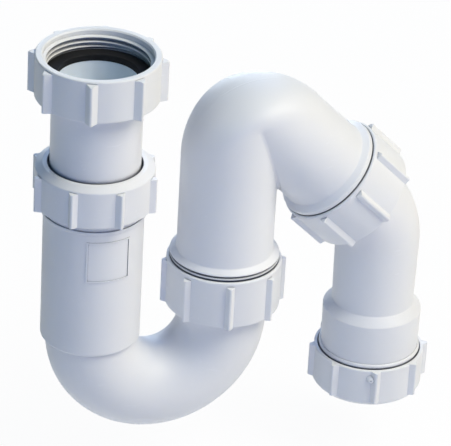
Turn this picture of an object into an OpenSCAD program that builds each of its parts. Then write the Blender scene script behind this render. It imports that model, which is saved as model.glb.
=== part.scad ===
// Adjustable swivel trap for a 1 1/2 inch waste.
// Three vertical legs stand in one plane: the telescopic inlet leg, the rising
// leg of the U-bend, and the outlet leg. The origin is the centre of the seat
// where the waste's threaded tail lands; +Z is up, +X runs from leg to leg.
// Threads are left plain here: each male end is its core, each nut its bore.

/* [Inlet] */
// Length of the threaded wall above the washer
inlet_thread_l = 8.2; // [7:0.1:12]
// Wall of the inlet nut between its ribs
inlet_nut_wall = 3.4; // [3:0.1:4]
// Height of the chamfer at the inlet nut's mouth
inlet_lead = 0.6; // [0.4:0.1:0.9]
// Outer radius of the telescopic tube
tube_r = 20; // [19.6:0.1:20.1]
// Wall of the telescopic tube
tube_wall = 2.2; // [1.8:0.1:2.6]
// Length of the telescopic tube below its flange
tube_l = 89.2; // [75:0.1:95]
// Width of the tube's flange outside the tube
tube_flange_w = 3.2; // [2.8:0.1:3.6]
// Thickness of the tube's flange
tube_flange_t = 3.8; // [2.4:0.1:4]
// Thickness of the inlet washer
inlet_washer_t = 3; // [2:0.1:3.4]
// Width of the inlet washer's ring
inlet_washer_w = 5.7; // [4.6:0.1:6.4]
// Thickness of the inlet nut's floor
inlet_floor_t = 3.6; // [2.4:0.1:4]

/* [Trap body] */
// Wall of the barrel that the tube slides in
barrel_wall = 2; // [1.8:0.1:2.4]
// Length of the barrel's rounded foot below the U-bend's centre
barrel_foot_l = 0.6; // [0.5:0.1:2]
// Distance between the inlet leg and the rising leg
leg_pitch = 62.8; // [60:0.1:70]
// Length of the rising leg between the U-bend's centre and its nut's mouth
u_leg = 29.3; // [27:0.1:38]
// Outer radius of the U-bend's pipe
u_pipe_r = 20.1; // [19.6:0.1:20.6]
// Wall of the U-bend's pipe
u_wall = 2.3; // [1.9:0.1:2.8]
// Side of the raised square frame on the barrel
label_side = 20; // [15:0.1:22]
// Depth of the middle of the raised frame below the origin
label_drop = 81.5; // [79:0.1:105]
// Height of the raised frame over the barrel
label_h = 0.35; // [0.2:0.05:0.5]
// Width of the raised frame's line
label_line = 0.7; // [0.5:0.1:1.5]
// Turn of the raised frame round the barrel
label_angle = -90; // [-100:1:-80]

/* [Swivel bend] */
// Step from the swivel bend's pipe up to the core of its threads
bend_step = 0.9; // [0.7:0.1:1.2]
// Wall of the swivel bend's pipe
bend_wall = 2.5; // [2:0.1:2.9]
// Centre line radius of the tight bend
bend_turn_r = 13.2; // [12:0.1:15]
// Depth of the tight bend's centre below the origin
bend_drop = 46.5; // [45:0.1:49]
// Slope of the arm below the horizontal
arm_slope = 45; // [44:0.5:47]
// Length of the arm from the bend to the elbow nut's mouth
arm_l = 36.8; // [36:0.1:42]

/* [Outlet elbow] */
// How much slimmer the outlet elbow's pipe is than the U-bend's
elbow_step = 0.9; // [0.6:0.1:1.2]
// Wall of the outlet elbow's pipe
elbow_wall = 2.3; // [1.9:0.1:2.8]
// Distance from the elbow nut's mouth to where the elbow turns
elbow_run = 25.2; // [24:0.1:28]
// Centre line radius of the outlet elbow
elbow_turn_r = 29.6; // [27:0.1:34]
// Radius of the bore that takes the waste pipe
socket_bore_r = 20.6; // [20.3:0.05:20.7]
// Wall of the outlet socket
socket_wall = 1.8; // [1.6:0.1:2]
// Length of the outlet leg between the bend and the shoulder
shoulder_l = 31.7; // [29:0.1:36]
// Height of the sloping shoulder over the outlet socket
shoulder_h = 4.3; // [2.5:0.1:4.6]
// Length from the top of the shoulder to the outlet nut's outer face
socket_l = 44.4; // [42:0.1:50]

/* [Union nuts] */
// Wall of a union nut between its ribs
union_nut_wall = 2; // [1.8:0.1:2.6]
// Height of a union nut
union_nut_h = 23; // [22.6:0.1:25]
// Depth of the rising leg's nut mouth below the origin
union_drop = 99.8; // [94:0.1:104]
// Length of the male end inside a union nut
spigot_l = 14.1; // [12:0.1:14.5]
// Thickness of the flat washer in a union
union_washer_t = 2.5; // [1.8:0.1:2.6]
// Width of the U-bend's flange outside its pipe
union_flange_w = 3.2; // [2.8:0.1:3.6]
// Thickness of the flange that a union nut pulls on
union_flange_t = 3; // [2.2:0.1:3.1]

/* [Compression nuts] */
// Wall of the adjuster nut between its ribs
adjuster_nut_wall = 2.4; // [2.2:0.1:3]
// Height of the adjuster nut
adjuster_nut_h = 19; // [18:0.1:20]
// Depth of the adjuster nut's closed face below the origin
adjuster_drop = 43.3; // [41:0.1:43.6]
// Wall of the outlet nut between its ribs
outlet_nut_wall = 2; // [1.8:0.1:2.6]
// Height of the outlet nut
outlet_nut_h = 19; // [17:0.1:21]
// Thickness of a compression nut's closed end
cap_t = 2.9; // [2.4:0.1:2.9]
// Thickness of a slip ring
slip_ring_t = 1.4; // [1:0.1:1.4]
// Height of the adjuster seal's head, above the barrel's open end
adjuster_seal_head = 1.6; // [1.2:0.1:2.4]
// Height of the outlet seal's head, below the socket's open end
outlet_seal_head = 2.8; // [2:0.1:3.2]

/* [Threads] */
// Height of the threads on the barrel and on the swivel bend
thread_h = 1.4; // [1.2:0.05:1.5]
// Step from the barrel up to the core of its thread
barrel_core_step = 0.3; // [0.2:0.05:0.5]
// Wall of the outlet socket under its thread
outlet_core_wall = 1.2; // [1.1:0.05:1.5]
// Height of the outlet thread
outlet_thread_h = 1.6; // [1.4:0.05:1.7]

/* [Grip ribs] */
// Number of ribs on each nut
rib_count = 8; // [6:1:10]
// Width of a rib at its crest
rib_crest_w = 1; // [0.9:0.1:2]
// How far each side of a rib spreads for its height
rib_spread = 0.75; // [0.3:0.05:0.9]
// Height of a rib on the inlet nut
inlet_rib_h = 3; // [2:0.1:3.4]
// Height of a rib on the other nuts
rib_h = 2.3; // [1.6:0.1:2.8]

/* [Hidden] */
$fn = 96;

// Clearances
seat_gap = 0.2;       // over the inlet washer, before the nut is drawn up
face_gap = 0.1;       // between flat faces that turn on each other
lift_gap = 0.3;       // under a flange that its nut pulls on
flange_gap = 0.4;     // round a flange inside its nut
tube_gap = 0.3;       // round the tube inside the barrel
nut_hole_gap = 0.9;   // round a pipe in a compression nut's closed end
socket_gap = 0.3;     // round the waste pipe's way into the socket, in its nut
thread_gap = 0.3;     // from a union nut's thread down to the wall round its flange
relief_gap = 0.4;     // from the inlet nut's thread down to the wall round its flange
union_hole_gap = 0.4; // round a pipe in a union nut's floor
seal_gap = 0.05;      // round the tube inside a wedge seal
seat_play = 0.3;      // between a wedge seal and its cone

// The mould splits where a sloping run meets its bend: the run laps into the
// bend and stands proud of it by a faint step
lap = 0.5;
mould_step = 0.15;
leg_step = 0.04;      // the same between the U-bend and its straight legs

// Inlet nut and tube flange
tube_flange_r = tube_r + tube_flange_w;
relief_r = tube_flange_r + flange_gap;
inlet_bore_r = relief_r + relief_gap;
inlet_nut_r = inlet_bore_r + inlet_nut_wall;
inlet_washer_low = -seat_gap - inlet_washer_t;
tube_flange_low = inlet_washer_low - tube_flange_t;
inlet_nut_floor = tube_flange_low - face_gap;
inlet_nut_low = inlet_nut_floor - inlet_floor_t;
inlet_nut_top = inlet_thread_l + inlet_lead;

// Inlet leg
barrel_bore_r = tube_r + tube_gap;
barrel_r = barrel_bore_r + barrel_wall;
core_r = barrel_r + barrel_core_step;
adjuster_bore_r = core_r + thread_h;
adjuster_nut_r = adjuster_bore_r + adjuster_nut_wall;
cone_r = core_r - 0.6;
cone_h = 3;
barrel_top = adjuster_drop + cap_t + slip_ring_t + adjuster_seal_head + 3 * face_gap;
collar_z = -(adjuster_drop + adjuster_nut_h + 3.8);

// Union joint, measured from the nut's mouth into the nut
union_washer_z = spigot_l + face_gap;
union_flange_z = union_washer_z + union_washer_t;
union_floor_z = union_flange_z + union_flange_t + lift_gap;
union_flange_r = u_pipe_r + union_flange_w;
union_relief_r = union_flange_r + flange_gap;
union_bore_r = union_relief_r + thread_gap;
union_core_r = union_bore_r - thread_h;
union_nut_r = union_bore_r + union_nut_wall;
collar_t = 1.3;
flare_l = 6.5;

// Legs and bends
u_r = leg_pitch / 2;
u_drop = union_drop + u_leg;
bend_pipe_r = union_core_r - bend_step;
elbow_pipe_r = u_pipe_r - elbow_step;
u_bore_r = u_pipe_r - u_wall;
bend_bore_r = bend_pipe_r - bend_wall;
elbow_bore_r = elbow_pipe_r - elbow_wall;
bend_x = leg_pitch + bend_turn_r;
arm_turn = 90 + arm_slope;
elbow_drop = bend_drop + (arm_l + elbow_run) * sin(arm_slope)
    + (elbow_turn_r - bend_turn_r) * cos(arm_slope);

// Outlet joint
socket_r = socket_bore_r + socket_wall;
outlet_core_r = socket_bore_r + outlet_core_wall;
outlet_nut_bore_r = outlet_core_r + outlet_thread_h;
outlet_nut_r = outlet_nut_bore_r + outlet_nut_wall;
outlet_cone_r = outlet_core_r - 0.4;
outlet_z = -shoulder_l - socket_l;
ledge_z = -shoulder_l - shoulder_h - 0.5;
socket_low = outlet_z + cap_t + slip_ring_t + outlet_seal_head + 3 * face_gap;
socket_skirt = outlet_z + outlet_nut_h + 2.3;

// Points of a corner rounded to radius r, in n steps
function corner(a, b, c, r, n) =
    let (u = (a - b) / norm(a - b), v = (c - b) / norm(c - b),
         half = acos(u * v) / 2,
         m = b + (u + v) / norm(u + v) * r / sin(half),
         s = b + u * r / tan(half) - m, e = b + v * r / tan(half) - m,
         a0 = atan2(s[1], s[0]), d = atan2(e[1], e[0]) - a0,
         turn = d > 180 ? d - 360 : d < -180 ? d + 360 : d)
    [for (i = [0:n]) m + r * [cos(a0 + turn * i / n), sin(a0 + turn * i / n)]];

// Outline through points [x, y] or [x, y, radius of the corner]
function rounded(p, n = 4) =
    let (k = len(p), q = [for (v = p) [v[0], v[1]]])
    [for (i = [0:k - 1]) each len(p[i]) < 3 ? [q[i]]
        : corner(q[(i + k - 1) % k], q[i], q[(i + 1) % k], p[i][2], n)];

module turned(p) rotate_extrude() polygon(rounded(p));

module ring(r_in, r_out, z, h, edge = 0.2)
    turned([[r_in, z, edge], [r_out, z, edge], [r_out, z + h, edge], [r_in, z + h, edge]]);

// Grip ribs between two heights, with soft ends, on a wall of radius r
module grip_ribs(r, height, low, high, angle, low_soft, high_soft) {
    crest = rib_crest_w / 2;
    foot = crest + height * rib_spread;
    intersection() {
        turned([[r - 1, low], [r + height + 0.4, low, low_soft],
                [r + height + 0.4, high, high_soft], [r - 1, high]]);
        translate([0, 0, low - 1]) linear_extrude(high - low + 2)
            for (k = [0:rib_count - 1]) rotate(angle + k * 360 / rib_count)
                polygon(rounded([[r - 1.5, -foot], [r - 0.3, -foot], [r + height, -crest, 0.8],
                                 [r + height, crest, 0.8], [r - 0.3, foot], [r - 1.5, foot]], 3));
    }
}

// Part of a pipe bend about the Y axis through the origin, from angle a to b
// above +X; a bend tighter than its pipe keeps only the outer side of its axis
module pipe_bend(turn_r, r, a, b)
    rotate([90, 0, 0]) rotate([0, 0, a]) rotate_extrude(angle = b - a)
        if (r < turn_r) translate([turn_r, 0]) circle(r);
        else difference() {
            translate([turn_r, 0]) circle(r);
            translate([-2 * r, -r - 1]) square(2 * r * [1, 1] + [0, 2]);
        }

// Frames of the joints: +Z runs from a nut's mouth or face into the nut
module at_adjuster() translate([0, 0, -adjuster_drop]) rotate([180, 0, 0]) children();
module at_swivel() translate([leg_pitch, 0, -union_drop]) rotate([180, 0, 0]) children();
module at_arm() translate([bend_x, 0, -bend_drop]) rotate([0, arm_turn, 0])
    translate([-bend_turn_r, 0, 0]) children();
module at_elbow() at_arm() translate([0, 0, arm_l]) children();
module at_elbow_centre() at_elbow() translate([elbow_turn_r, 0, elbow_run])
    rotate([0, -arm_turn, 0]) children();
module at_outlet_leg() at_elbow_centre() translate([elbow_turn_r, 0, 0]) children();
module at_outlet() at_outlet_leg() translate([0, 0, outlet_z]) children();

// Nut that pulls a flange against a male end, with its mouth at Z = 0
module union_nut(pipe_r, angle) {
    hole = pipe_r + union_hole_gap;
    bore = union_bore_r;
    turned([[bore + 0.7, 0, 0.25], [union_nut_r, 0, 1], [union_nut_r, union_nut_h, 0.6],
            [hole, union_nut_h, 0.3], [hole, union_floor_z], [union_relief_r, union_floor_z],
            [union_relief_r, union_flange_z - 1], [bore, union_flange_z - 1.3], [bore, 0.7]]);
    grip_ribs(union_nut_r, rib_h - 0.1, 1.9, union_nut_h, angle, 1.2, 0.3);
}

// Nut that presses a slip ring and seal, with its closed face at Z = 0
module compression_nut(r, h, bore, hole, bevel, angle) {
    turned([[hole, 0, 0.3], [r - bevel, 0, 1.2], [r, 1.9, 0.8], [r, h, 0.5],
            [bore + 0.6, h], [bore, h - 0.6], [bore, cap_t], [hole, cap_t]]);
    grip_ribs(r, rib_h + 0.1, 2.6, h, angle, 1, 0.3);
}

// Seal under a slip ring: its head lies on a mouth, its lip in the mouth's cone
module wedge_seal(hole, head_r, head_h, cone, bore, lip_h) {
    z = cap_t + slip_ring_t + 2 * face_gap;
    turned([[hole, z, 0.3], [head_r, z, 0.4], [head_r, z + head_h, 0.2],
            [cone - seat_play, z + head_h],
            [cone - seat_play - (cone - bore) * lip_h / cone_h, z + head_h + lip_h],
            [hole, z + head_h + lip_h]]);
}

// Male end of the swivel bend, from its flare to the face on the washer, with
// its collar's lower edge drop over the nut's mouth
module union_spigot(drop)
    turned([[0, -flare_l], [bend_pipe_r, -flare_l], [bend_pipe_r, -drop - 3.7, 1.2],
            [union_bore_r, -drop - collar_t, 0.5], [union_bore_r, -drop, 0.3],
            [union_core_r, 0.1 - drop], [union_core_r, spigot_l, 0.5], [0, spigot_l]]);

module union_flange(pipe_r)
    ring(pipe_r - 1, union_flange_r, union_flange_z, union_flange_t, 0.3);

// Nodes
module inlet_nut() color("whitesmoke") {
    hole = tube_r + nut_hole_gap;
    turned([[inlet_bore_r + inlet_lead, inlet_nut_top, 0.15], [inlet_nut_r, inlet_nut_top, 0.7],
            [inlet_nut_r, inlet_nut_low, 0.6], [hole, inlet_nut_low, 0.3],
            [hole, inlet_nut_floor], [relief_r, inlet_nut_floor], [relief_r, 0],
            [inlet_bore_r, 0], [inlet_bore_r, inlet_thread_l]]);
    grip_ribs(inlet_nut_r, inlet_rib_h, inlet_nut_low, inlet_nut_top - 1, 20.4, 0.6, 1.6);
}

module inlet_washer() color("dimgray")
    ring(tube_flange_r - inlet_washer_w, tube_flange_r, inlet_washer_low, inlet_washer_t, 0.3);

module inlet_tube() color("white")
    turned([[tube_r - tube_wall, inlet_washer_low, 0.3], [tube_flange_r, inlet_washer_low, 0.4],
            [tube_flange_r, tube_flange_low, 0.4], [tube_r, tube_flange_low],
            [tube_r, tube_flange_low - tube_l, 0.8],
            [tube_r - tube_wall, tube_flange_low - tube_l, 0.4]]);

module adjuster_nut() color("whitesmoke") at_adjuster()
    compression_nut(adjuster_nut_r, adjuster_nut_h, adjuster_bore_r, tube_r + nut_hole_gap, 3.4, 39.3);

module adjuster_slip_ring() color("lightsteelblue") at_adjuster()
    ring(tube_r + tube_gap + face_gap, adjuster_bore_r - 0.5, cap_t + face_gap, slip_ring_t);

module adjuster_seal() color("dimgray") at_adjuster()
    wedge_seal(tube_r + seal_gap, core_r, adjuster_seal_head, cone_r, barrel_bore_r, 2.4);

// Raised square frame that lies on the barrel's wall
module label_frame()
    rotate(label_angle) translate([0, 0, -label_drop]) intersection() {
        difference() {
            cylinder(r = barrel_r + label_h, h = label_side, center = true);
            cylinder(r = barrel_r - 0.5, h = label_side + 2, center = true);
        }
        rotate([90, 0, 90]) linear_extrude(2 * barrel_r) difference() {
            square(label_side * [1, 1], center = true);
            square((label_side - 2 * label_line) * [1, 1], center = true);
        }
    }

module trap_body() color("white") difference() {
    union() {
        turned([[0, -barrel_top], [core_r, -barrel_top, 0.4], [core_r, collar_z + 1.6],
                [barrel_r, collar_z + 1.3], [barrel_r, collar_z], [barrel_r + 0.7, collar_z - 0.1, 0.3],
                [barrel_r + 0.7, collar_z - 1.6, 0.6], [barrel_r, collar_z - 1.9],
                [barrel_r, -u_drop - barrel_foot_l, 1.3], [0, -u_drop - barrel_foot_l]]);
        label_frame();
        translate([u_r, 0, -u_drop]) mirror([0, 0, 1]) pipe_bend(u_r, u_pipe_r - leg_step, 0, 180);
        translate([leg_pitch, 0, -u_drop - lap])
            cylinder(r = u_pipe_r, h = u_leg + lap - union_flange_z);
        at_swivel() union_flange(u_pipe_r);
    }
    turned([[0, -barrel_top + 1], [cone_r, -barrel_top + 1], [cone_r, -barrel_top],
            [barrel_bore_r, -barrel_top - cone_h], [barrel_bore_r, -u_drop + 2.5],
            [u_bore_r, -u_drop], [u_bore_r, -u_drop - lap], [0, -u_drop - lap]]);
    translate([u_r, 0, -u_drop]) mirror([0, 0, 1]) pipe_bend(u_r, u_bore_r - leg_step, 0, 180);
    translate([leg_pitch, 0, -u_drop - lap])
        cylinder(r = u_bore_r, h = u_leg + lap - union_flange_z + 1);
}

module swivel_nut() color("whitesmoke") at_swivel() union_nut(u_pipe_r, 14.1);

module swivel_washer() color("dimgray") at_swivel()
    ring(u_bore_r, union_flange_r - 0.4, union_washer_z, union_washer_t);

// Outside of the swivel bend, or its bore
module swivel_bend_form(r) {
    translate([bend_x, 0, -bend_drop]) pipe_bend(bend_turn_r, r - mould_step, 90 - arm_slope, 180);
    translate([leg_pitch, 0, -union_drop + flare_l])
        cylinder(r = r, h = union_drop - bend_drop - flare_l + lap);
    at_arm() translate([0, 0, -lap]) cylinder(r = r, h = arm_l - flare_l + lap);
}

module swivel_bend() color("white") difference() {
    union() {
        swivel_bend_form(bend_pipe_r);
        at_swivel() union_spigot(1.4);
        at_elbow() union_spigot(0.5);
    }
    swivel_bend_form(bend_bore_r);
    at_swivel() translate([0, 0, -flare_l]) cylinder(r = bend_bore_r, h = flare_l + spigot_l + 1);
    at_elbow() translate([0, 0, -flare_l]) cylinder(r = bend_bore_r, h = flare_l + spigot_l + 1);
}

module elbow_nut() color("whitesmoke") at_elbow() union_nut(elbow_pipe_r, 38.5);

module elbow_washer() color("dimgray") at_elbow()
    ring(elbow_bore_r, union_flange_r - 0.4, union_washer_z, union_washer_t);

module outlet_elbow() color("white") difference() {
    union() {
        at_elbow() union_flange(elbow_pipe_r);
        at_elbow() translate([0, 0, union_flange_z])
            cylinder(r = elbow_pipe_r, h = elbow_run - union_flange_z + lap);
        at_elbow_centre() pipe_bend(elbow_turn_r, elbow_pipe_r - mould_step, 0, 90 - arm_slope);
        at_outlet_leg()
            turned([[0, lap], [elbow_pipe_r, lap], [elbow_pipe_r, -shoulder_l, 0.6],
                    [socket_r, -shoulder_l - shoulder_h, 0.7], [socket_r, socket_skirt, 0.3],
                    [outlet_core_r, socket_skirt - 0.3], [outlet_core_r, socket_low, 0.2], [0, socket_low]]);
    }
    at_elbow() translate([0, 0, union_flange_z - 1])
        cylinder(r = elbow_bore_r, h = elbow_run - union_flange_z + 1 + lap);
    at_elbow_centre() pipe_bend(elbow_turn_r, elbow_bore_r - mould_step, 0, 90 - arm_slope);
    at_outlet_leg()
        turned([[0, lap], [elbow_bore_r, lap], [elbow_bore_r, ledge_z], [socket_bore_r, ledge_z],
                [socket_bore_r, socket_low + cone_h], [outlet_cone_r, socket_low],
                [outlet_cone_r, socket_low - 1], [0, socket_low - 1]]);
}

module outlet_seal() color("dimgray") at_outlet()
    wedge_seal(socket_bore_r + 0.1, outlet_nut_bore_r - 0.5, outlet_seal_head,
               outlet_cone_r, socket_bore_r, 1);

module outlet_slip_ring() color("lightsteelblue") at_outlet()
    ring(socket_bore_r + 0.25, outlet_nut_bore_r - 0.5, cap_t + face_gap, slip_ring_t);

module outlet_nut() color("whitesmoke") at_outlet()
    compression_nut(outlet_nut_r, outlet_nut_h, outlet_nut_bore_r, socket_bore_r + socket_gap, 1.6, 30.3);

inlet_nut();
inlet_washer();
inlet_tube();
adjuster_nut();
adjuster_slip_ring();
adjuster_seal();
trap_body();
swivel_nut();
swivel_washer();
swivel_bend();
elbow_nut();
elbow_washer();
outlet_elbow();
outlet_seal();
outlet_slip_ring();
outlet_nut();
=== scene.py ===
"""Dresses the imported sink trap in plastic, rubber, threads and mould marks, and lights it."""

import logging
import math
from dataclasses import dataclass
from enum import Enum

import bmesh
import bpy
from mathutils import Matrix, Vector


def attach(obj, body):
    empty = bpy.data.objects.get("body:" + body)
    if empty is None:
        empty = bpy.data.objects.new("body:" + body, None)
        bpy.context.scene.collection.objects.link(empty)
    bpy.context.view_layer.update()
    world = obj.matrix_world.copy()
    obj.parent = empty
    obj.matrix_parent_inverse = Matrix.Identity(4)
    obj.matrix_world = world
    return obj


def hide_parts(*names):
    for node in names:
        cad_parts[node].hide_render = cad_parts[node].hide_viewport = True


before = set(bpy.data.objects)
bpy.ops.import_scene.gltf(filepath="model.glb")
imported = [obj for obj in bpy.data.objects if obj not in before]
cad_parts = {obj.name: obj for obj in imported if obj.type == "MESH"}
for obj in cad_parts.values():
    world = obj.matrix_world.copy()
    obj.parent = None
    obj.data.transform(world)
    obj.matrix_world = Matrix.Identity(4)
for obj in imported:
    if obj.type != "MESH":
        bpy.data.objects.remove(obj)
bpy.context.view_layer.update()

log = logging.getLogger("sink_trap")
MM = 0.001
FULL_TURN = 2 * math.pi
DIAGONAL = math.sqrt(0.5)
NOISE_MEAN = 0.5
WORLD_UP = Vector((0.0, 0.0, 1.0))

Socket = bpy.types.NodeSocket
Colour = tuple[float, float, float]
Point = tuple[float, float]


# ---------------------------------------------------------------- node groups


class Maths(Enum):
    """The sums that the node groups do."""

    ADD = "ADD"
    SUBTRACT = "SUBTRACT"
    MULTIPLY = "MULTIPLY"
    MAXIMUM = "MAXIMUM"
    LESS_THAN = "LESS_THAN"
    ABSOLUTE = "ABSOLUTE"


class Slope(Enum):
    """How a ramp goes from its low end to its high end."""

    STRAIGHT = "LINEAR"
    SMOOTH = "SMOOTHSTEP"


class GroupBuilder:
    """Builds one shader node group whose inputs and outputs are named numbers."""

    def __init__(self, name: str) -> None:
        """Starts an empty group.

        Args:
            name: What the group is called in Blender.
        """
        self.tree = bpy.data.node_groups.new(name, "ShaderNodeTree")
        self.source = self.tree.nodes.new("NodeGroupInput")
        self.sink = self.tree.nodes.new("NodeGroupOutput")

    def takes(self, name: str, value: float) -> Socket:
        """Adds an input.

        Args:
            name: Name of the input.
            value: Its value where a material gives none.

        Returns:
            The socket that carries it inside the group.
        """
        item = self.tree.interface.new_socket(
            name=name, in_out="INPUT", socket_type="NodeSocketFloat")
        item.default_value = value
        return self.source.outputs[name]

    def gives(self, name: str, value: Socket) -> None:
        """Adds an output.

        Args:
            name: Name of the output.
            value: The socket inside the group that it passes on.
        """
        self.tree.interface.new_socket(
            name=name, in_out="OUTPUT", socket_type="NodeSocketFloat")
        self.join(value, self.sink.inputs[name])

    def node(self, kind: str, **settings: str | int) -> bpy.types.Node:
        """Adds a node.

        Args:
            kind: Blender's name for the node.
            **settings: Properties to set on it.

        Returns:
            The node.
        """
        made = self.tree.nodes.new(kind)
        for key, value in settings.items():
            setattr(made, key, value)
        return made

    def join(self, out: Socket, into: Socket) -> None:
        """Links one socket to another."""
        self.tree.links.new(out, into)

    def here(self) -> Socket:
        """Adds the piece's own coordinates, in metres."""
        return self.node("ShaderNodeTexCoord").outputs["Object"]

    def maths(self, kind: Maths, left: Socket | float, right: Socket | float = 0.0) -> Socket:
        """Adds a Math node.

        Args:
            kind: The sum.
            left: First socket or number.
            right: Second socket or number.

        Returns:
            The node's output.
        """
        made = self.node("ShaderNodeMath", operation=kind.value)
        for place, value in zip(made.inputs, (left, right)):
            if isinstance(value, (int, float)):
                place.default_value = value
            else:
                self.join(value, place)
        return made.outputs[0]

    def noise(self, where: Socket, **values: float) -> bpy.types.Node:
        """Adds a Noise Texture.

        Args:
            where: The coordinates that it reads.
            **values: Its inputs, such as Scale.

        Returns:
            The node.
        """
        made = self.node("ShaderNodeTexNoise")
        self.join(where, made.inputs["Vector"])
        for key, value in values.items():
            made.inputs[key].default_value = value
        return made

    def ramp(self, value: Socket, low: float, high: float, slope: Slope) -> Socket:
        """Adds a Map Range from 0 at its low end to 1 at its high end.

        Args:
            value: The socket that it reads.
            low: Value at the low end.
            high: Value at the high end.
            slope: How it goes from one to the other.

        Returns:
            The node's output.
        """
        made = self.node("ShaderNodeMapRange", interpolation_type=slope.value)
        made.inputs["From Min"].default_value = low
        made.inputs["From Max"].default_value = high
        self.join(value, made.inputs["Value"])
        return made.outputs["Result"]


def satin_grain_group() -> bpy.types.NodeTree:
    """Fine spark-eroded grain of a mould, its slow flow marks, and faint colour drift.

    Returns:
        The group, with Height, Gloss drift and Tone outputs.
    """
    grains_per_metre = 2600.0
    grain_share = 0.05
    g = GroupBuilder("satin_grain")
    fineness = g.takes("Grain fineness", 1.0)
    grain_depth = g.takes("Grain depth", 1.0)
    flow_depth = g.takes("Flow depth", 1.0)
    here = g.here()
    fine = g.noise(here, Detail=3.0, Roughness=0.6)
    g.join(g.maths(Maths.MULTIPLY, fineness, grains_per_metre), fine.inputs["Scale"])
    flow = g.noise(here, Scale=38.0, Detail=2.0, Distortion=0.6).outputs["Fac"]
    cloud = g.noise(here, Scale=85.0, Detail=4.0).outputs["Fac"]
    grain = g.maths(Maths.MULTIPLY, fine.outputs["Fac"], grain_depth)
    marks = g.maths(Maths.MULTIPLY, flow, flow_depth)
    g.gives("Height", g.maths(Maths.ADD, g.maths(Maths.MULTIPLY, grain, grain_share), marks))
    g.gives("Gloss drift", g.maths(Maths.SUBTRACT, cloud, NOISE_MEAN))
    g.gives("Tone", flow)
    return g.tree


def scuff_group() -> bpy.types.NodeTree:
    """Hairline scratches from handling, in two crossing directions.

    Returns:
        The group, with a Mask output that is 1 on a scratch.
    """
    lines_per_metre = 900.0
    tilt, lean = 0.3, 1.7
    hairline, patchy = (0.70, 0.76), (0.5, 0.65)
    g = GroupBuilder("handling_scuffs")
    amount = g.takes("Amount", 0.5)
    here = g.here()
    strands = []
    for turn, breaks_per_metre in ((0.5, 40.0), (-0.9, 55.0)):
        spun = g.node("ShaderNodeMapping")
        spun.inputs["Rotation"].default_value = (turn, tilt, turn * lean)
        spun.inputs["Scale"].default_value = (breaks_per_metre, lines_per_metre, lines_per_metre)
        g.join(here, spun.inputs["Vector"])
        lines = g.noise(spun.outputs["Vector"], Scale=1.0, Detail=1.0)
        strands.append(g.ramp(lines.outputs["Fac"], *hairline, Slope.STRAIGHT))
    patches = g.ramp(g.noise(here, Scale=60.0).outputs["Fac"], *patchy, Slope.STRAIGHT)
    scratches = g.maths(Maths.MULTIPLY, g.maths(Maths.MAXIMUM, *strands), patches)
    g.gives("Mask", g.maths(Maths.MULTIPLY, scratches, amount))
    return g.tree


def crevice_group() -> bpy.types.NodeTree:
    """How deep a point lies in a gap, for the painted shade that darkens it.

    Returns:
        The group, with a Mask output that is 1 in a deep gap.
    """
    g = GroupBuilder("crevice_painted_shade")
    reach = g.takes("Reach", 3.2 * MM)
    strength = g.takes("Strength", 1.0)
    # Ambient occlusion finds the gaps that get painted shade.
    shade = g.node("ShaderNodeAmbientOcclusion", samples=8)
    g.join(reach, shade.inputs["Distance"])
    enclosed = g.maths(Maths.SUBTRACT, 1.0, shade.outputs["AO"])
    open_gap, deep_gap = 0.2, 0.7
    deep = g.ramp(enclosed, open_gap, deep_gap, Slope.SMOOTH)
    g.gives("Mask", g.maths(Maths.MULTIPLY, deep, strength))
    return g.tree


def bore_group() -> bpy.types.NodeTree:
    """Where a surface lies within a radius of the inlet's axis, the inside of the tube, for its
    painted bluish shade.

    Returns:
        The group, with a Mask output that is 1 in the bore.
    """
    g = GroupBuilder("inlet_bore")
    radius = g.takes("Radius", 18.4 * MM)
    flat = g.node("ShaderNodeVectorMath", operation="MULTIPLY")
    flat.inputs[1].default_value = (1.0, 1.0, 0.0)
    g.join(g.here(), flat.inputs[0])
    span = g.node("ShaderNodeVectorMath", operation="LENGTH")
    g.join(flat.outputs["Vector"], span.inputs[0])
    g.gives("Mask", g.maths(Maths.LESS_THAN, span.outputs["Value"], radius))
    return g.tree


def parting_line_group() -> bpy.types.NodeTree:
    """The faint witness line that the two mould halves leave in the plane of the legs.

    Returns:
        The group, with a Mask output that is 1 on the line.
    """
    sway = 0.1 * MM
    g = GroupBuilder("parting_line")
    width = g.takes("Width", 0.35 * MM)
    here = g.here()
    axes = g.node("ShaderNodeSeparateXYZ")
    g.join(here, axes.inputs[0])
    wander = g.noise(here, Scale=160.0).outputs["Fac"]
    shift = g.maths(Maths.MULTIPLY, g.maths(Maths.SUBTRACT, wander, NOISE_MEAN), sway)
    away = g.maths(Maths.ABSOLUTE, g.maths(Maths.ADD, axes.outputs["Y"], shift))
    fade = g.node("ShaderNodeMapRange", interpolation_type=Slope.SMOOTH.value)
    fade.inputs["To Min"].default_value = 1.0
    fade.inputs["To Max"].default_value = 0.0
    g.join(away, fade.inputs["Value"])
    g.join(width, fade.inputs["From Max"])
    g.gives("Mask", fade.outputs["Result"])
    return g.tree


class SurfaceGroups:
    """The node groups that the finishes share, each built once."""

    def __init__(self) -> None:
        """Builds the groups."""
        self.grain = satin_grain_group()
        self.scuffs = scuff_group()
        self.crevice = crevice_group()
        self.parting = parting_line_group()
        self.bore = bore_group()


# ------------------------------------------------------------------- finishes


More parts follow.
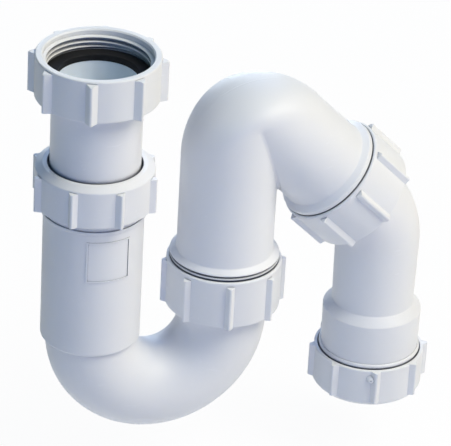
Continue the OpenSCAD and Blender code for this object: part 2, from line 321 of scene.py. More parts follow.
class MaterialBuilder:
    """Builds one material round its Principled BSDF."""

    def __init__(self, name: str) -> None:
        """Starts the material.

        Args:
            name: What the material is called in Blender.
        """
        self.material = bpy.data.materials.new(name)
        self.material.use_nodes = True
        self.nodes = self.material.node_tree.nodes
        self.shader = self.nodes["Principled BSDF"]

    def join(self, out: Socket, into: Socket) -> None:
        """Links one socket to another."""
        self.material.node_tree.links.new(out, into)

    def sets(self, name: str, value: float | tuple) -> None:
        """Sets an input of the shader."""
        self.shader.inputs[name].default_value = value

    def feeds(self, name: str, out: Socket) -> None:
        """Links a socket to an input of the shader."""
        self.join(out, self.shader.inputs[name])

    def place(self, tree: bpy.types.NodeTree, values: dict[str, float]) -> bpy.types.Node:
        """Places a node group.

        Args:
            tree: The group.
            values: Values of its inputs here.

        Returns:
            The group's node.
        """
        made = self.nodes.new("ShaderNodeGroup")
        made.node_tree = tree
        for key, value in values.items():
            made.inputs[key].default_value = value
        return made

    def mix(self, under: Socket | Colour, over: Colour, share: Socket) -> Socket:
        """Mixes a colour over another.

        Args:
            under: The socket or colour where the share is 0.
            over: The colour where the share is 1.
            share: The socket with the share.

        Returns:
            The mixed colour.
        """
        made = self.nodes.new("ShaderNodeMix")
        made.data_type = "RGBA"
        if isinstance(under, tuple):
            made.inputs["A"].default_value = (*under, 1.0)
        else:
            self.join(under, made.inputs["A"])
        made.inputs["B"].default_value = (*over, 1.0)
        self.join(share, made.inputs["Factor"])
        return made.outputs["Result"]

    def raised(self, value: Socket, factor: float, base: Socket | float) -> Socket:
        """Adds a share of one value to another.

        Args:
            value: The value that is multiplied.
            factor: Its factor.
            base: The socket or number that it is added to.

        Returns:
            The sum.
        """
        made = self.nodes.new("ShaderNodeMath")
        made.operation = "MULTIPLY_ADD"
        self.join(value, made.inputs[0])
        made.inputs[1].default_value = factor
        if isinstance(base, float):
            made.inputs[2].default_value = base
        else:
            self.join(base, made.inputs[2])
        return made.outputs[0]

    def bump(self, height: Socket, depth: float, strength: float) -> None:
        """Gives the surface a relief.

        Args:
            height: The relief's height, where 1 is its full depth.
            depth: That depth in metres.
            strength: Share of it that shows.
        """
        made = self.nodes.new("ShaderNodeBump")
        made.inputs["Distance"].default_value = depth
        made.inputs["Strength"].default_value = strength
        self.join(height, made.inputs["Height"])
        self.feeds("Normal", made.outputs["Normal"])


@dataclass(frozen=True)
class PlasticFinish:
    """White polypropylene as it leaves one mould, with painted shade in its gaps."""

    name: str
    colour: Colour
    shade: Colour
    roughness: float
    grain_fineness: float
    grain_depth: float
    flow_depth: float
    scuffs: float
    parting: float = 0.0
    # Bluish painted shade laid inside the tube's bore.
    bore_blue_shade: Colour | None = None
    # Strength of the painted shade in gaps and grooves.
    crevice_shade_strength: float = 0.85
    scratch: Colour = (0.90, 0.91, 0.93)
    # Near-black colour of the painted shade in gaps and grooves.
    crevice_shade: Colour = (0.07, 0.08, 0.105)
    gloss_drift: float = 0.22
    scratch_dulling: float = 0.18
    relief_depth: float = 0.35 * MM
    relief_strength: float = 0.35
    ior: float = 1.49
    subsurface: float = 0.06
    subsurface_radius: Colour = (1.0, 0.9, 0.8)
    subsurface_scale: float = 1.2 * MM

    def build(self, groups: SurfaceGroups) -> bpy.types.Material:
        """Makes the material.

        Args:
            groups: The shared node groups.

        Returns:
            The material, ready for a slot.
        """
        m = MaterialBuilder(self.name)
        m.sets("IOR", self.ior)
        m.sets("Subsurface Weight", self.subsurface)
        m.sets("Subsurface Radius", self.subsurface_radius)
        m.sets("Subsurface Scale", self.subsurface_scale)
        grain = m.place(groups.grain, {
            "Grain fineness": self.grain_fineness, "Grain depth": self.grain_depth,
            "Flow depth": self.flow_depth})
        scuffs = m.place(groups.scuffs, {"Amount": self.scuffs}).outputs["Mask"]
        # Mask of the painted shade in gaps and grooves.
        gap = m.place(groups.crevice, {"Strength": self.crevice_shade_strength}).outputs["Mask"]

        colour = m.mix(self.colour, self.shade, grain.outputs["Tone"])
        # Paints a bluish shade inside the bore.
        if self.bore_blue_shade is not None:
            inside = m.place(groups.bore, {}).outputs["Mask"]
            colour = m.mix(colour, self.bore_blue_shade, inside)
        colour = m.mix(colour, self.scratch, scuffs)
        # Paints shade into gaps and grooves.
        m.feeds("Base Color", m.mix(colour, self.crevice_shade, gap))

        rough = m.raised(grain.outputs["Gloss drift"], self.gloss_drift, self.roughness)
        m.feeds("Roughness", m.raised(scuffs, self.scratch_dulling, rough))

        relief = grain.outputs["Height"]
        if self.parting > 0:
            line = m.place(groups.parting, {}).outputs["Mask"]
            relief = m.raised(line, self.parting, relief)
        m.bump(relief, self.relief_depth, self.relief_strength)
        return m.material


@dataclass(frozen=True)
class RubberFinish:
    """Black moulded rubber with talc left on it."""

    name: str
    colour: Colour = (0.006, 0.006, 0.007)
    talc: Colour = (0.02, 0.02, 0.022)
    roughness: float = 0.62
    specular: float = 0.22
    grain_fineness: float = 0.8
    grain_depth: float = 2.0
    gloss_drift: float = 0.5
    relief_depth: float = 0.3 * MM
    relief_strength: float = 0.5

    def build(self, groups: SurfaceGroups) -> bpy.types.Material:
        """Makes the material.

        Args:
            groups: The shared node groups.

        Returns:
            The material, ready for a slot.
        """
        m = MaterialBuilder(self.name)
        m.sets("Specular IOR Level", self.specular)
        grain = m.place(groups.grain, {
            "Grain fineness": self.grain_fineness, "Grain depth": self.grain_depth})
        m.feeds("Base Color", m.mix(self.colour, self.talc, grain.outputs["Tone"]))
        rough = m.raised(grain.outputs["Gloss drift"], self.gloss_drift, self.roughness)
        m.feeds("Roughness", rough)
        m.bump(grain.outputs["Height"], self.relief_depth, self.relief_strength)
        return m.material


class TrapFinishes:
    """The materials of the trap's pieces."""

    def __init__(self) -> None:
        """Builds the materials."""
        groups = SurfaceGroups()
        self.nut = PlasticFinish(
            "nut_plastic", colour=(0.82, 0.825, 0.835), shade=(0.79, 0.797, 0.812),
            roughness=0.5, grain_fineness=1.0, grain_depth=1.0, flow_depth=0.5,
            scuffs=0.5).build(groups)
        # Copy of the nut plastic whose colour is made less blue: a painted correction of the
        # bluish shade that falls on this nut.
        self.inlet_nut = PlasticFinish(
            "inlet_nut_shade_corrected_plastic", colour=(0.822, 0.825, 0.818), shade=(0.792, 0.797, 0.795),
            roughness=0.5, grain_fineness=1.1, grain_depth=1.2, flow_depth=0.5,
            scuffs=0.6).build(groups)
        self.pipe = PlasticFinish(
            "pipe_plastic", colour=(0.82, 0.825, 0.835), shade=(0.79, 0.798, 0.815),
            roughness=0.47, grain_fineness=1.2, grain_depth=0.7, flow_depth=0.8,
            scuffs=0.35, parting=0.9).build(groups)
        # The tube's bore gets a painted bluish shade.
        self.tube = PlasticFinish(
            "tube_plastic", colour=(0.81, 0.818, 0.83), shade=(0.78, 0.79, 0.81),
            roughness=0.38, grain_fineness=1.3, grain_depth=0.5, flow_depth=0.4,
            scuffs=0.6, bore_blue_shade=(0.79, 0.875, 0.965)).build(groups)
        self.slip_ring = PlasticFinish(
            "slip_ring_plastic", colour=(0.55, 0.60, 0.66), shade=(0.50, 0.55, 0.62),
            roughness=0.3, grain_fineness=1.3, grain_depth=0.4, flow_depth=0.3,
            scuffs=0.2).build(groups)
        self.rubber = RubberFinish("washer_rubber").build(groups)

    def of_nodes(self) -> dict[str, bpy.types.Material]:
        """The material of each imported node.

        Returns:
            The materials by the names of the nodes.
        """
        return {
            "inlet_nut": self.inlet_nut, "adjuster_nut": self.nut, "swivel_nut": self.nut,
            "elbow_nut": self.nut, "outlet_nut": self.nut, "inlet_tube": self.tube,
            "trap_body": self.pipe, "swivel_bend": self.pipe, "outlet_elbow": self.pipe,
            "adjuster_slip_ring": self.slip_ring, "outlet_slip_ring": self.slip_ring,
            "inlet_washer": self.rubber, "swivel_washer": self.rubber,
            "elbow_washer": self.rubber, "adjuster_seal": self.rubber,
            "outlet_seal": self.rubber,
        }


# --------------------------------------------------------------------- meshes


def scene_object(bm: bmesh.types.BMesh, name: str) -> bpy.types.Object:
    """Puts a finished mesh into the scene.

    Args:
        bm: The mesh, which is used up.
        name: Name of the object and of its mesh.

    Returns:
        The object.
    """
    mesh = bpy.data.meshes.new(name)
    bm.to_mesh(mesh)
    bm.free()
    made = bpy.data.objects.new(name, mesh)
    bpy.context.scene.collection.objects.link(made)
    return made


def smooth_moulding(bm: bmesh.types.BMesh, name: str, sharp: float) -> bpy.types.Object:
    """Puts a closed mesh into the scene as a smooth moulding with crisp edges.

    Args:
        bm: The mesh, which is used up.
        name: Name of the piece.
        sharp: Angle in degrees above which an edge stays crisp.

    Returns:
        The moulding.
    """
    bmesh.ops.recalc_face_normals(bm, faces=bm.faces)
    made = scene_object(bm, name)
    made.data.shade_smooth()
    made.data.set_sharp_from_angle(angle=math.radians(sharp))
    return made


def rounded_outline(points: list[tuple[float, ...]], steps: int = 4) -> list[Point]:
    """Rounds the corners of an open outline.

    Args:
        points: (radius, height) or (radius, height, corner radius) of each corner.
        steps: Segments in each rounded corner.

    Returns:
        The outline with its corners rounded.
    """
    made = []
    for i, point in enumerate(points):
        at = Vector(point[:2])
        if len(point) < 3 or i in (0, len(points) - 1):
            made.append(tuple(at))
            continue
        before = (Vector(points[i - 1][:2]) - at).normalized()
        after = (Vector(points[i + 1][:2]) - at).normalized()
        half = before.angle(after) / 2
        reach = point[2] / math.tan(half)
        centre = at + (before + after).normalized() * point[2] / math.sin(half)
        start, end = at + before * reach - centre, at + after * reach - centre
        for k in range(steps + 1):
            made.append(tuple(centre + start.slerp(end, k / steps)))
    return made


def closed_shell(name: str, fibres: list[list[Vector]], sharp: float) -> bpy.types.Object:
    """Joins closed fibres, each the next one's neighbour, into one closed moulding.

    Args:
        name: Name of the piece.
        fibres: The fibres' points, in millimetres, as many on each.
        sharp: Angle in degrees above which an edge stays crisp.

    Returns:
        The moulding as a closed mesh.
    """
    bm = bmesh.new()
    rows = [[bm.verts.new(point * MM) for point in fibre] for fibre in fibres]
    count = len(rows[0])
    for i, row in enumerate(rows):
        following = rows[(i + 1) % len(rows)]
        for k in range(count):
            m = (k + 1) % count
            bm.faces.new((row[k], following[k], following[m], row[m]))
    return smooth_moulding(bm, name, sharp)


# --------------------------------------------------------------------- pieces


@dataclass(frozen=True)
class ScrewThread:
    """One helical ridge, in millimetres, along the Z axis of its own frame."""

    root_r: float
    crest_r: float
    low: float
    high: float
    pitch: float = 2.309
    start_angle: float = 0.0
    root_w: float = 1.5
    crest_w: float = 0.7
    crest_flat: float = 0.55
    sunk: float = 0.12
    rounding: float = 0.12
    vanish: float = 0.1
    steps_per_turn: int = 72
    run_out: float = 0.25
    sharp: float = 50.0

    def section(self, fade: float) -> list[Point]:
        """Ridge's cross-section as (radius, height) pairs.

        Args:
            fade: 1 for a full ridge, 0 where it has run out into its wall.

        Returns:
            The points, root to root over a rounded crest.
        """
        side = 1.0 if self.crest_r > self.root_r else -1.0
        foot = self.root_r - side * self.sunk
        rise = (self.crest_r - self.root_r) * fade
        crest = self.root_r + rise - side * self.vanish * (1.0 - fade)
        shoulder = crest - side * self.rounding * fade
        half_root, half_crest = self.root_w / 2, self.crest_w / 2
        half_flat = half_crest * self.crest_flat
        return [(foot, -half_root), (shoulder, -half_crest), (crest, -half_flat),
                (crest, half_flat), (shoulder, half_crest), (foot, half_root)]

    def build(self, name: str, placed: Matrix) -> bpy.types.Object:
        """Sweeps the ridge along its helix.

        Args:
            name: Name of the piece.
            placed: Frame of the thread, in metres.

        Returns:
            The ridge as a closed mesh.
        """
        turns = (self.high - self.low - self.root_w) / self.pitch
        steps = int(turns * self.steps_per_turn)
        bm = bmesh.new()
        rings = []
        for i in range(steps + 1):
            turn = turns * i / steps
            fade = min(1.0, min(turn, turns - turn) / self.run_out)
            angle = self.start_angle + FULL_TURN * turn
            z = self.low + self.root_w / 2 + self.pitch * turn
            ring = []
            for r, dz in self.section(math.sin(fade * math.pi / 2)):
                point = Vector((r * math.cos(angle), r * math.sin(angle), z + dz)) * MM
                ring.append(bm.verts.new(placed @ point))
            rings.append(ring)
        count = len(rings[0])
        for a, b in zip(rings, rings[1:]):
            for k in range(count):
                m = (k + 1) % count
                bm.faces.new((a[k], b[k], b[m], a[m]))
        bm.faces.new(rings[0])
        bm.faces.new(list(reversed(rings[-1])))
        return smooth_moulding(bm, name, self.sharp)


@dataclass(frozen=True)
class SwivelBend:
    """Tight bend between the rising leg and the arm, with two threaded ends, in millimetres."""

    leg_x: float = 62.8
    mouth_z: float = -99.8
    turn_r: float = 13.2
    centre_z: float = -46.5
    sweep: float = 135.0
    arm_l: float = 36.8
    pipe_r: float = 21.7
    bore_r: float = 19.2
    core_r: float = 22.6
    collar_r: float = 24.0
    spigot_l: float = 14.1
    flare_l: float = 6.5
    leg_collar_drop: float = 1.2
    arm_collar_drop: float = 0.9
    collar_lap: float = 0.1
    collar_h: float = 1.5
    collar_to_pipe: float = 3.7
    groove_d: float = 0.6
    groove_from: float = 0.5
    groove_to: float = 1.05
    groove_slope: float = 0.05
    tip_round: float = 0.5
    collar_round: float = 0.2
    flare_round: float = 0.3
    neck_round: float = 1.2
    crease_reach: float = 5.9
    crease_r: float = 0.9
    spread: float = 1.31
    fibres: int = 160
    arc_steps: int = 36
    sharp: float = 38.0

    def end_outline(self, drop: float, ringed: bool) -> list[Point]:
        """Outline of an end from its tip's bore out to the plain pipe, with height into the nut.

        Args:
            drop: How far outside the nut's mouth the collar begins.
            ringed: Whether a narrow groove runs round the collar.

        Returns:
            The outline as (radius, height) pairs.
        """
        floor_r = self.collar_r - self.groove_d
        near, far = -drop - self.groove_from, -drop - self.groove_to
        groove = [
            (self.collar_r, near), (floor_r, near - self.groove_slope),
            (floor_r, far + self.groove_slope), (self.collar_r, far)]
        return rounded_outline([
            (self.bore_r, self.spigot_l),
            (self.core_r, self.spigot_l, self.tip_round),
            (self.core_r, self.collar_lap - drop),
            (self.collar_r, -drop, self.collar_round),
            *(groove if ringed else []),
            (self.collar_r, -drop - self.collar_h, self.flare_round),
            (self.pipe_r, -drop - self.collar_to_pipe, self.neck_round),
            (self.pipe_r, -self.flare_l)])

    def leg_point(self, radius: float, height: float, turn: float) -> Vector:
        """A point of the leg's end, turn 0 being on the bend's outer side."""
        return Vector((self.leg_x - radius * math.cos(turn), radius * math.sin(turn),
                       self.mouth_z - height))

    def arm_point(self, radius: float, height: float, turn: float) -> Vector:
        """A point of the arm's end.

        Args:
            radius: Its distance from the arm's axis.
            height: Its place along the arm, into the elbow nut.
            turn: Its angle round the axis, 0 being on the bend's outer side.

        Returns:
            The point in the trap's frame.
        """
        out = self.turn_r + radius * math.cos(turn)
        along = self.arm_l + height
        return Vector((
            self.leg_x + self.turn_r + DIAGONAL * (out + along), radius * math.sin(turn),
            self.centre_z + DIAGONAL * (out - along)))

    def round_the_bend(self, radius: float, turn: float) -> list[Vector]:
        """A fibre's way round the bend: a wide arc outside, a crease inside.

        Args:
            radius: Distance of the fibre from the pipe's axis.
            turn: Its angle round that axis.

        Returns:
            The fibre's points from the leg to the arm.
        """
        out = radius * math.cos(turn)
        arc_r = max(self.crease_r, self.spread * (out + self.crease_reach))
        rise = math.tan(math.radians(self.sweep / 2))
        corner_x = self.leg_x - out
        corner_z = self.centre_z + (self.turn_r + out) * rise
        centre_x, centre_z = corner_x + arc_r, corner_z - arc_r * rise
        made = []
        for i in range(self.arc_steps + 1):
            angle = math.radians(self.sweep) * i / self.arc_steps
            made.append(Vector((
                centre_x - arc_r * math.cos(angle), radius * math.sin(turn),
                centre_z + arc_r * math.sin(angle))))
        return made

    def build(self, name: str) -> bpy.types.Object:
        """Builds the moulding.

        Args:
            name: Name of the piece.

        Returns:
            The closed shell.
        """
        leg_end = self.end_outline(self.leg_collar_drop, ringed=True)
        arm_end = self.end_outline(self.arm_collar_drop, ringed=False)
        fibres = []
        for i in range(self.fibres):
            turn = FULL_TURN * i / self.fibres
            fibre = [self.leg_point(r, z, turn) for r, z in leg_end]
            fibre += self.round_the_bend(self.pipe_r, turn)
            fibre += [self.arm_point(r, z, turn) for r, z in reversed(arm_end)]
            fibre += reversed(self.round_the_bend(self.bore_r, turn))
            fibres.append(fibre)
        return closed_shell(name, fibres, self.sharp)


@dataclass(frozen=True)
class OutletElbow:
    """Elbow from the arm down to the outlet socket, in millimetres."""

    bend: SwivelBend
    pipe_r: float = 19.2
    bore_r: float = 16.9
    flange_r: float = 23.3
    flange_low: float = 16.7
    flange_t: float = 3.0
    flange_round: float = 0.3
    run: float = 25.2
    turn_r: float = 29.6
    sweep: float = 45.0
    neck_l: float = 4.0
    shoulder_l: float = 31.7
    shoulder_h: float = 4.3
    shoulder_round: float = 0.6
    socket_r: float = 22.4
    socket_round: float = 0.7
    socket_bore_r: float = 20.6
    step_t: float = 0.5
    core_r: float = 21.8
    ring_r: float = 22.5
    ring_to: float = 1.35
    ring_round: float = 0.1
    groove_r: float = 21.3
    groove_to: float = 0.65
    slope: float = 0.05
    skirt_z: float = -55.3
    low_z: float = -68.7
    lip_round: float = 0.2
    lip_w: float = 0.4
    lead_in: float = 3.0
    fibres: int = 144
    arc_steps: int = 18
    sharp: float = 38.0

    def flange_outline(self) -> list[Point]:
        """Outline of the flange that the elbow nut pulls on.

        Returns:
            The outline as (radius, height) pairs, bore to pipe.
        """
        back = self.flange_low + self.flange_t
        return rounded_outline([
            (self.bore_r, self.flange_low),
            (self.flange_r, self.flange_low, self.flange_round),
            (self.flange_r, back, self.flange_round),
            (self.pipe_r, back)])

    def socket_outline(self) -> list[Point]:
        """Outline of the socket, with the ring under its skirt.

        Returns:
            The outline as (radius, height) pairs, pipe to bore.
        """
        shoulder = -self.shoulder_l - self.shoulder_h
        return rounded_outline([
            (self.pipe_r, -self.neck_l),
            (self.pipe_r, -self.shoulder_l, self.shoulder_round),
            (self.socket_r, shoulder, self.socket_round),
            (self.socket_r, self.skirt_z),
            (self.groove_r, self.skirt_z - self.slope),
            (self.groove_r, self.skirt_z - self.groove_to),
            (self.ring_r, self.skirt_z - self.groove_to - self.slope, self.ring_round),
            (self.ring_r, self.skirt_z - self.ring_to, self.ring_round),
            (self.core_r, self.skirt_z - self.ring_to - self.slope),
            (self.core_r, self.low_z, self.lip_round),
            (self.core_r - self.lip_w, self.low_z),
            (self.socket_bore_r, self.low_z + self.lead_in),
            (self.socket_bore_r, shoulder - self.step_t),
            (self.bore_r, shoulder - self.step_t)])

    def centre(self) -> Vector:
        """Middle of the elbow's arc.

        Returns:
            The point in the trap's frame.
        """
        foot = self.bend.arm_point(0.0, self.run, 0.0)
        return foot - Vector((DIAGONAL, 0.0, DIAGONAL)) * self.turn_r

    def arc(self, radius: float, turn: float) -> list[Vector]:
        """A fibre's way round the elbow.

        Args:
            radius: Distance of the fibre from the pipe's axis.
            turn: Its angle round that axis.

        Returns:
            The fibre's points from the arm down.
        """
        reach = self.turn_r + radius * math.cos(turn)
        made = []
        for k in range(self.arc_steps + 1):
            angle = math.radians(self.sweep) * (1 - k / self.arc_steps)
            made.append(self.centre() + Vector((
                reach * math.cos(angle), radius * math.sin(turn), reach * math.sin(angle))))
        return made

    def build(self, name: str) -> bpy.types.Object:
        """Builds the moulding.

        Args:
            name: Name of the piece.

        Returns:
            The closed shell.
        """
        flange, socket = self.flange_outline(), self.socket_outline()
        axis = self.centre() + Vector((self.turn_r, 0.0, 0.0))
        fibres = []
        for i in range(self.fibres):
            turn = FULL_TURN * i / self.fibres
            fibre = [self.bend.arm_point(r, z, turn) for r, z in flange]
            fibre += self.arc(self.pipe_r, turn)
            fibre += [axis + Vector((r * math.cos(turn), r * math.sin(turn), z))
                      for r, z in socket]
            fibre += reversed(self.arc(self.bore_r, turn))
            fibres.append(fibre)
        return closed_shell(name, fibres, self.sharp)


@dataclass(frozen=True)
class GatePip:
    """Low dome that a mould's gate leaves on a wall, in millimetres, along +X."""

    radius: float = 1.2
    height: float = 1.3
    crown: float = 0.6
    waist: float = 0.95
    round_r: float = 0.4
    foot_round: float = 0.1
    sunk: float = 0.6
    pole_r: float = 0.02
    spokes: int = 28
    sharp: float = 60.0

    def build(self, name: str) -> bpy.types.Object:
        """Builds the dome.

        Args:
            name: Name of the piece.

        Returns:
            The dome as a closed mesh.
        """
        outline = rounded_outline([
            (self.pole_r, self.height),
            (self.radius * self.crown, self.height, self.round_r),
            (self.radius * self.waist, self.height / 2, self.round_r),
            (self.radius, 0.0, self.foot_round),
            (self.radius, -self.sunk)])
        outline.append((self.pole_r, -self.sunk))
        fibres = []
        for i in range(self.spokes):
            turn = FULL_TURN * i / self.spokes
            fibres.append([
                Vector((h, r * math.cos(turn), r * math.sin(turn))) for r, h in outline])
        return closed_shell(name, fibres, self.sharp)


# ----------------------------------------------------------------- assemblies


def moved(x: float, y: float, z: float) -> Matrix:
    """A move by millimetres, as a matrix in metres."""
    return Matrix.Translation(Vector((x, y, z)) * MM)


@dataclass(frozen=True)
class JointFrames:
    """Where each threaded joint stands, in metres, with +Z into its nut."""

    bend: SwivelBend
    adjuster_face: float = -43.3
    outlet_x: float = 137.844
    outlet_face: float = -178.036

    def inlet(self) -> Matrix:
        """Frame of the inlet nut, with its mouth upwards."""
        return Matrix.Identity(4)

    def adjuster(self) -> Matrix:
        """Frame of the adjuster nut's closed face, looking down."""
        return moved(0, 0, self.adjuster_face) @ Matrix.Rotation(math.pi, 4, "X")

    def swivel(self) -> Matrix:
        """Frame of the rising leg's nut mouth, looking down."""
        mouth = moved(self.bend.leg_x, 0, self.bend.mouth_z)
        return mouth @ Matrix.Rotation(math.pi, 4, "X")

    def elbow(self) -> Matrix:
        """Frame of the elbow nut's mouth, looking down the arm.

        Returns:
            The frame.
        """
        bend = self.bend
        centre = moved(bend.leg_x + bend.turn_r, 0, bend.centre_z)
        turned = centre @ Matrix.Rotation(math.radians(bend.sweep), 4, "Y")
        return turned @ moved(-bend.turn_r, 0, bend.arm_l)

    def outlet(self) -> Matrix:
        """Frame of the outlet nut's closed face, looking up."""
        return moved(self.outlet_x, 0, self.outlet_face)


@dataclass(frozen=True)
class SinkTrap:
    """The trap: its smooth mouldings, threads and gate mark, with their finishes."""

    adjuster_thread_low: float = 7.2
    outlet_thread_low: float = 8.4
    inlet_thread_start: float = 0.503
    gate_turn: float = -110.0
    gate_wall_r: float = 25.4
    gate_height: float = 14.8

    def dress_nodes(self, finishes: TrapFinishes) -> list[str]:
        """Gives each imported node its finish.

        Args:
            finishes: The trap's materials.

        Returns:
            What was done, a line for each node.
        """
        report = []
        for name, finish in finishes.of_nodes().items():
            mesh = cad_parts[name].data
            mesh.materials.clear()
            mesh.materials.append(finish)
            report.append(f"{name} is dressed in {finish.name}")
        return report

    def smooth_bends(self, bend: SwivelBend, finishes: TrapFinishes) -> list[str]:
        """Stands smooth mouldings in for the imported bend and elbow.

        Args:
            bend: The swivel bend.
            finishes: The trap's materials.

        Returns:
            What was done, a line for each moulding.
        """
        report = []
        for name, moulding in (("swivel_bend", bend), ("outlet_elbow", OutletElbow(bend))):
            piece = moulding.build(f"{name}_shell")
            piece.data.materials.append(finishes.pipe)
            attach(piece, name)
            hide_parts(name)
            report.append(f"{piece.name} replaces {name}")
        return report

    def cut_threads(self, frames: JointFrames, finishes: TrapFinishes) -> list[str]:
        """Adds the ridges on the male ends and inside the nuts.

        Args:
            frames: Where the threaded joints stand.
            finishes: The trap's materials.

        Returns:
            What was done, a line for each ridge.
        """
        half_pitch = ScrewThread.pitch / 2
        adjuster_low, outlet_low = self.adjuster_thread_low, self.outlet_thread_low
        rows = (
            ("inlet_nut_thread", frames.inlet(), finishes.inlet_nut, "nut", "inlet_nut",
             ScrewThread(root_r=24.0, crest_r=22.4, low=0.15, high=7.2, root_w=1.2,
                         crest_w=0.5, start_angle=self.inlet_thread_start)),
            ("adjuster_male_thread", frames.adjuster(), finishes.pipe, "moulding", "trap_body",
             ScrewThread(root_r=22.6, crest_r=23.8, low=adjuster_low, high=21.7)),
            ("adjuster_nut_thread", frames.adjuster(), finishes.nut, "nut", "adjuster_nut",
             ScrewThread(root_r=24.0, crest_r=22.75, low=adjuster_low + half_pitch,
                         high=18.3)),
            ("swivel_male_thread", frames.swivel(), finishes.pipe, "moulding", "swivel_bend",
             ScrewThread(root_r=22.6, crest_r=23.75, low=-1.1, high=12.6)),
            ("arm_male_thread", frames.elbow(), finishes.pipe, "moulding", "swivel_bend",
             ScrewThread(root_r=22.6, crest_r=23.75, low=-0.2, high=12.6,
                         start_angle=FULL_TURN / 2)),
            ("outlet_male_thread", frames.outlet(), finishes.pipe, "moulding", "outlet_elbow",
             ScrewThread(root_r=21.8, crest_r=23.0, low=outlet_low, high=19.2)),
            ("outlet_nut_thread", frames.outlet(), finishes.nut, "nut", "outlet_nut",
             ScrewThread(root_r=23.4, crest_r=22.97, low=outlet_low + half_pitch,
                         high=18.2, root_w=1.3)),
        )
        report = []
        for name, placed, finish, slot, body, thread in rows:
            piece = thread.build(name, placed)
            piece.data.materials.append(finish)
            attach(piece, body)
            report.append(f"{name} rides on {body}")
        return report

    def mark_gate(self, frames: JointFrames, finishes: TrapFinishes) -> list[str]:
        """Leaves the gate's pip on the outlet nut.

        Args:
            frames: Where the threaded joints stand.
            finishes: The trap's materials.

        Returns:
            What was done, in one line.
        """
        pip = GatePip().build("outlet_nut_gate")
        turned = frames.outlet() @ Matrix.Rotation(math.radians(self.gate_turn), 4, "Z")
        pip.data.transform(turned @ moved(self.gate_wall_r, 0, self.gate_height))
        pip.data.materials.append(finishes.nut)
        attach(pip, "outlet_nut")
        return [f"{pip.name} rides on outlet_nut"]

    def build(self) -> list[str]:
        """Builds the trap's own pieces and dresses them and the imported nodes.

        Returns:
            What was done, a line for each piece.
        """
        finishes = TrapFinishes()
        bend = SwivelBend()
        frames = JointFrames(bend)
        return [
            *self.dress_nodes(finishes), *self.smooth_bends(bend, finishes),
            *self.cut_threads(frames, finishes), *self.mark_gate(frames, finishes)]


# --------------------------------------------------------------------- studio


@dataclass(frozen=True)
class SoftLamp:
    """One round soft lamp, in metres, placed on a sphere about the trap."""

    name: str
    azimuth: float
    elevation: float
    power: float
    colour: Colour
    across: float = 0.9
    reach: float = 1.6

    def build(self, target: Vector) -> None:
        """Hangs the lamp so that it faces the trap.

        Args:
            target: Middle of the trap, in metres.
        """
        data = bpy.data.lights.new(self.name, "AREA")
        data.shape = "DISK"
        data.size = self.across
        data.energy = self.power
        data.color = self.colour
        made = bpy.data.objects.new(self.name, data)
        bpy.context.scene.collection.objects.link(made)
        around, above = math.radians(self.azimuth), math.radians(self.elevation)
        way = Vector((math.cos(around) * math.cos(above), math.sin(around) * math.cos(above),
                      math.sin(above)))
        facing = (-way).to_track_quat("-Z", "Y").to_matrix().to_4x4()
        made.matrix_world = Matrix.Translation(target + way * self.reach) @ facing


# Each lamp's name, azimuth and elevation in degrees, watts and colour.
LAMPS = (
    SoftLamp("window", -45.0, 50.0, 18.9, (1.0, 0.965, 0.835), across=0.95),
    SoftLamp("window_edge", -22.0, 50.0, 4.0, (1.0, 0.84, 0.62)),
    SoftLamp("bounce_near", -90.0, 50.0, 2.9, (0.84, 0.84, 1.0)),
    SoftLamp("ceiling", -112.0, 88.0, 2.6, (0.7, 0.9, 1.0)),
    SoftLamp("sky_back", 68.0, 40.0, 5.8, (0.3, 0.5, 1.0)),
    SoftLamp("back_fill", 78.0, 8.0, 9.0, (0.8, 0.9, 1.0)),
    SoftLamp("sky_front", -112.0, 12.0, 3.3, (0.05, 0.22, 1.0)),
    SoftLamp("bounce_left", -157.0, 40.0, 2.2, (0.26, 0.6, 0.74)),
)


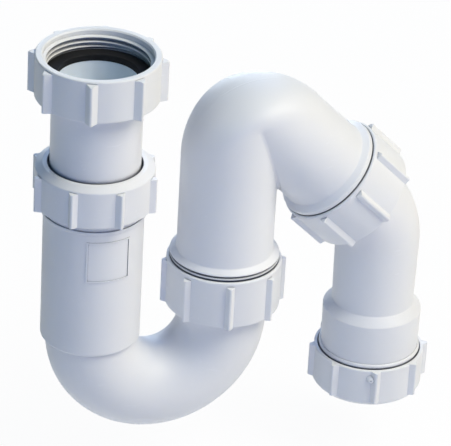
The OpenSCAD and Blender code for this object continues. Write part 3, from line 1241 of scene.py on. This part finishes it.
@dataclass(frozen=True)
class Studio:
    """Pale floor and backdrop, soft lamps, and the photograph's camera.

    eye, sensor_w and floor_z are in millimetres, lens_px and image_w in pixels, roll is in
    degrees, and the other lengths are in metres.
    """

    eye: tuple[float, float, float] = (-413.633, -1166.152, 621.449)
    forward: tuple[float, float, float] = (0.329892, 0.807865, -0.488391)
    roll: float = 3.212
    lens_px: float = 3230.53
    image_w: float = 451.0
    sensor_w: float = 36.0
    sees_to: float = 20.0
    lamp_target: tuple[float, float, float] = (0.07, 0.0, -0.083)
    air_colour: Colour = (0.55, 0.75, 1.0)
    air_strength: float = 0.015
    backdrop_whiteness: float = 0.965
    floor_z: float = -211.2
    floor_half: float = 9.0
    floor_colour: Colour = (0.92, 0.92, 0.92)
    floor_roughness: float = 0.9
    floor_whiteness: float = 0.955

    def camera(self) -> None:
        """Stands the camera where the photograph was taken from."""
        data = bpy.data.cameras.new("photo_camera")
        data.sensor_width = self.sensor_w
        data.lens = self.lens_px / self.image_w * self.sensor_w
        data.clip_end = self.sees_to
        made = bpy.data.objects.new("photo_camera", data)
        bpy.context.scene.collection.objects.link(made)
        look = Vector(self.forward).normalized()
        right = look.cross(WORLD_UP).normalized()
        up = right.cross(look)
        roll = math.radians(self.roll)
        across = right * math.cos(roll) + up * math.sin(roll)
        above = up * math.cos(roll) - right * math.sin(roll)
        turn = Matrix((across, above, -look)).transposed().to_4x4()
        made.matrix_world = moved(*self.eye) @ turn
        bpy.context.scene.camera = made

    def air(self) -> None:
        """Adds the faint even light of the room, which the camera sees as a white backdrop."""
        world = bpy.data.worlds.new("studio_air")
        world.use_nodes = True
        nodes, links = world.node_tree.nodes, world.node_tree.links
        even = nodes["Background"]
        even.inputs["Color"].default_value = (*self.air_colour, 1.0)
        even.inputs["Strength"].default_value = self.air_strength
        seen = nodes.new("ShaderNodeBackground")
        seen.inputs["Color"].default_value = (1.0, 1.0, 1.0, 1.0)
        seen.inputs["Strength"].default_value = self.backdrop_whiteness
        rays = nodes.new("ShaderNodeLightPath")
        pick = nodes.new("ShaderNodeMixShader")
        links.new(rays.outputs["Is Camera Ray"], pick.inputs["Fac"])
        links.new(even.outputs[0], pick.inputs[1])
        links.new(seen.outputs[0], pick.inputs[2])
        links.new(pick.outputs[0], nodes["World Output"].inputs["Surface"])
        bpy.context.scene.world = world

    def floor_material(self) -> bpy.types.Material:
        """Makes the floor's material, which stays white to the camera and keeps the shadow.

        Returns:
            The material.
        """
        m = MaterialBuilder("studio_floor")
        m.sets("Base Color", (*self.floor_colour, 1.0))
        m.sets("Roughness", self.floor_roughness)
        white = m.nodes.new("ShaderNodeEmission")
        white.inputs["Strength"].default_value = 1.0
        rays = m.nodes.new("ShaderNodeLightPath")
        seen = rays.outputs["Is Camera Ray"]
        for kind in ("Is Glossy Ray", "Is Transmission Ray"):
            either = m.nodes.new("ShaderNodeMath")
            either.operation = "MAXIMUM"
            m.join(seen, either.inputs[0])
            m.join(rays.outputs[kind], either.inputs[1])
            seen = either.outputs[0]
        share = m.nodes.new("ShaderNodeMath")
        share.operation = "MULTIPLY"
        share.inputs[1].default_value = self.floor_whiteness
        m.join(seen, share.inputs[0])
        blend = m.nodes.new("ShaderNodeMixShader")
        m.join(share.outputs[0], blend.inputs["Fac"])
        m.join(m.shader.outputs[0], blend.inputs[1])
        m.join(white.outputs[0], blend.inputs[2])
        m.join(blend.outputs[0], m.nodes["Material Output"].inputs["Surface"])
        return m.material

    def floor(self) -> None:
        """Lays the pale floor below every pose of the trap."""
        half, z = self.floor_half, self.floor_z * MM
        bm = bmesh.new()
        bm.faces.new([
            bm.verts.new((x, y, z))
            for x, y in ((-half, -half), (half, -half), (half, half), (-half, half))])
        made = scene_object(bm, "studio_floor")
        made.data.materials.append(self.floor_material())

    def build(self) -> None:
        """Builds the studio."""
        self.camera()
        for lamp in LAMPS:
            lamp.build(Vector(self.lamp_target))
        self.air()
        self.floor()
        bpy.context.scene.view_settings.view_transform = "Standard"


def main() -> None:
    """Builds the scene and reports each piece."""
    logging.basicConfig(level=logging.INFO, format="%(message)s")
    Studio().build()
    for line in SinkTrap().build():
        log.info(line)


if __name__ == "__main__":
    main()
